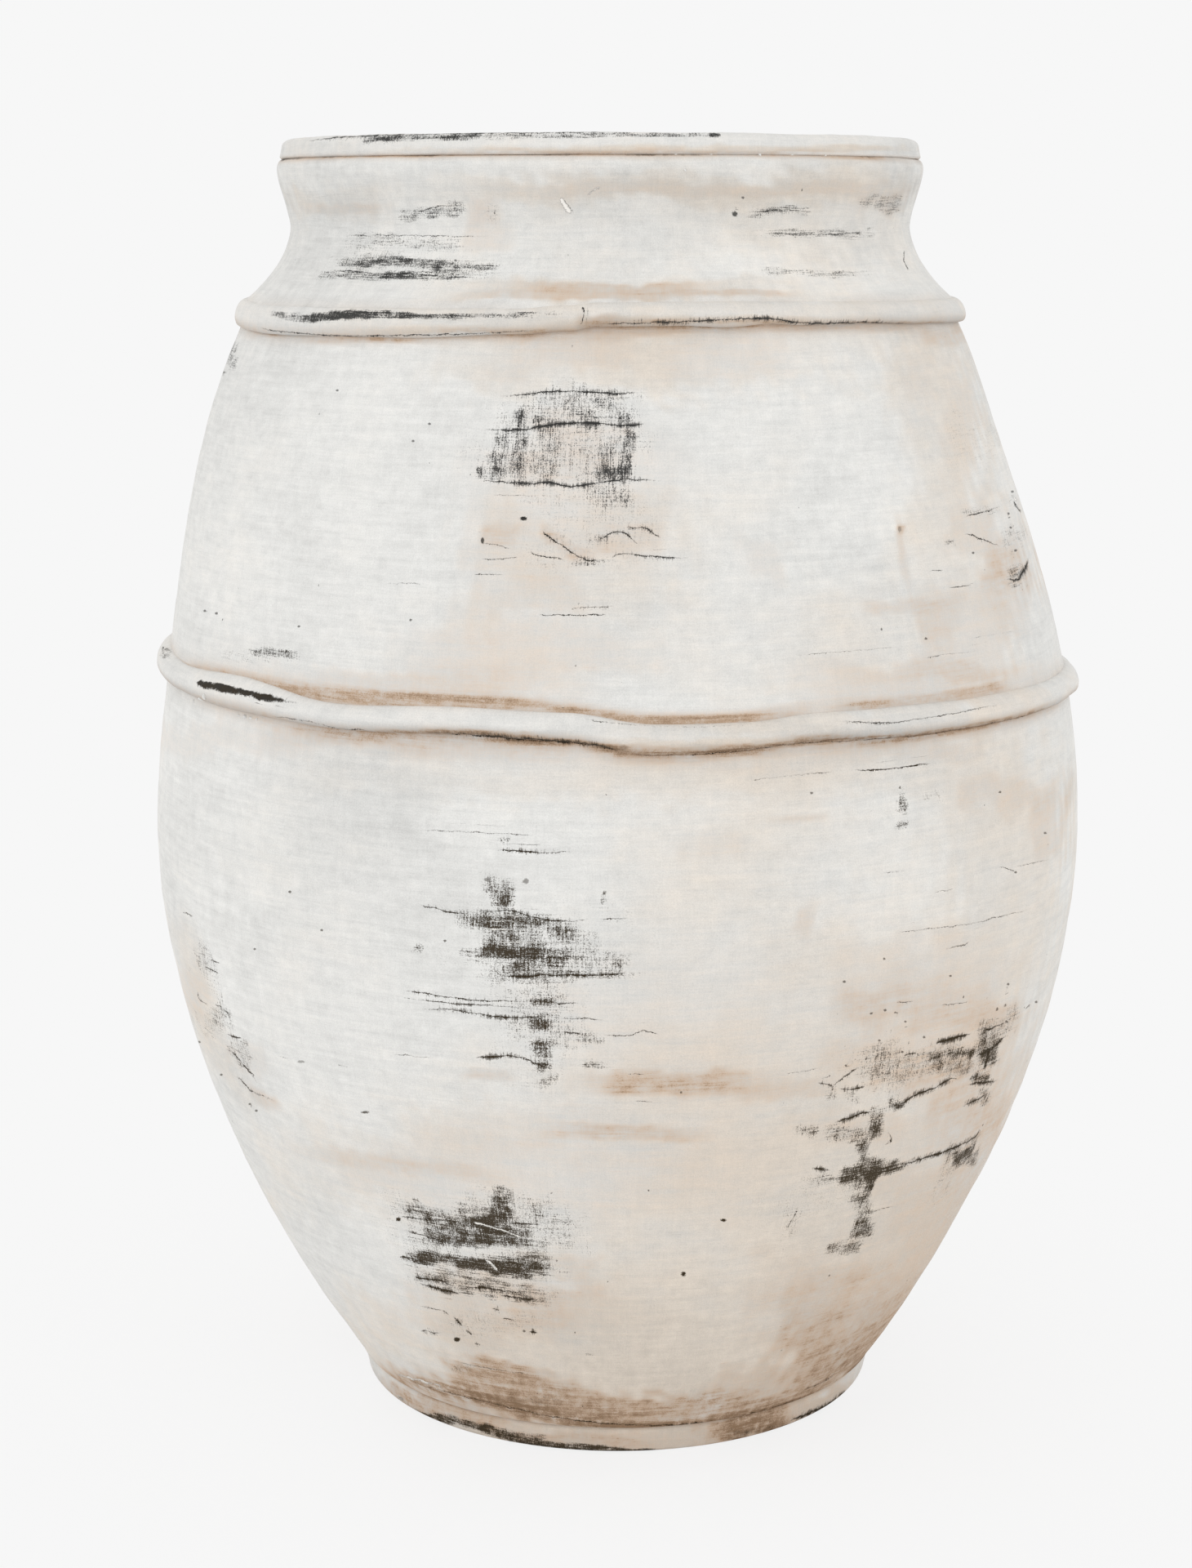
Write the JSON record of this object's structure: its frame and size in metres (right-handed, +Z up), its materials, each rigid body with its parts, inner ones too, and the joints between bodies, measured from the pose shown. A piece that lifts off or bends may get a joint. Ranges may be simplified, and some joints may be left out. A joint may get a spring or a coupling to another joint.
{
  "type": "floor jar",
  "caption": "Large earthenware floor jar with a ring foot, round belly, waisted neck, rolled lip and raised clay cords over its seams, in a worn whitewash.",
  "frame": {"origin": "centre of the underside of the ring foot, on the surface the jar stands on", "axes": "+Z up through the mouth, front towards -Y, +X to the right seen from the front"},
  "size_m": [0.4008, 0.4008, 0.5403],
  "materials": {
    "whitewashed_clay": "matte whitewash brushed over dark clay, worn through in patches, with brown stains in the recesses",
    "rubbed_whitewash": "the same matte whitewash, rubbed thin along the edges and dark in the creases",
    "bare_clay": "rough unpainted fired clay"
  },
  "bodies": {
    "root": {"foot_ring": "rubbed_whitewash", "base_disc": "bare_clay", "lower_wall": "whitewashed_clay", "upper_wall": "whitewashed_clay", "neck": "whitewashed_clay", "rim_lip": "rubbed_whitewash", "belly_cordon": "rubbed_whitewash", "shoulder_cordon": "rubbed_whitewash"}
  },
  "joints": []
}
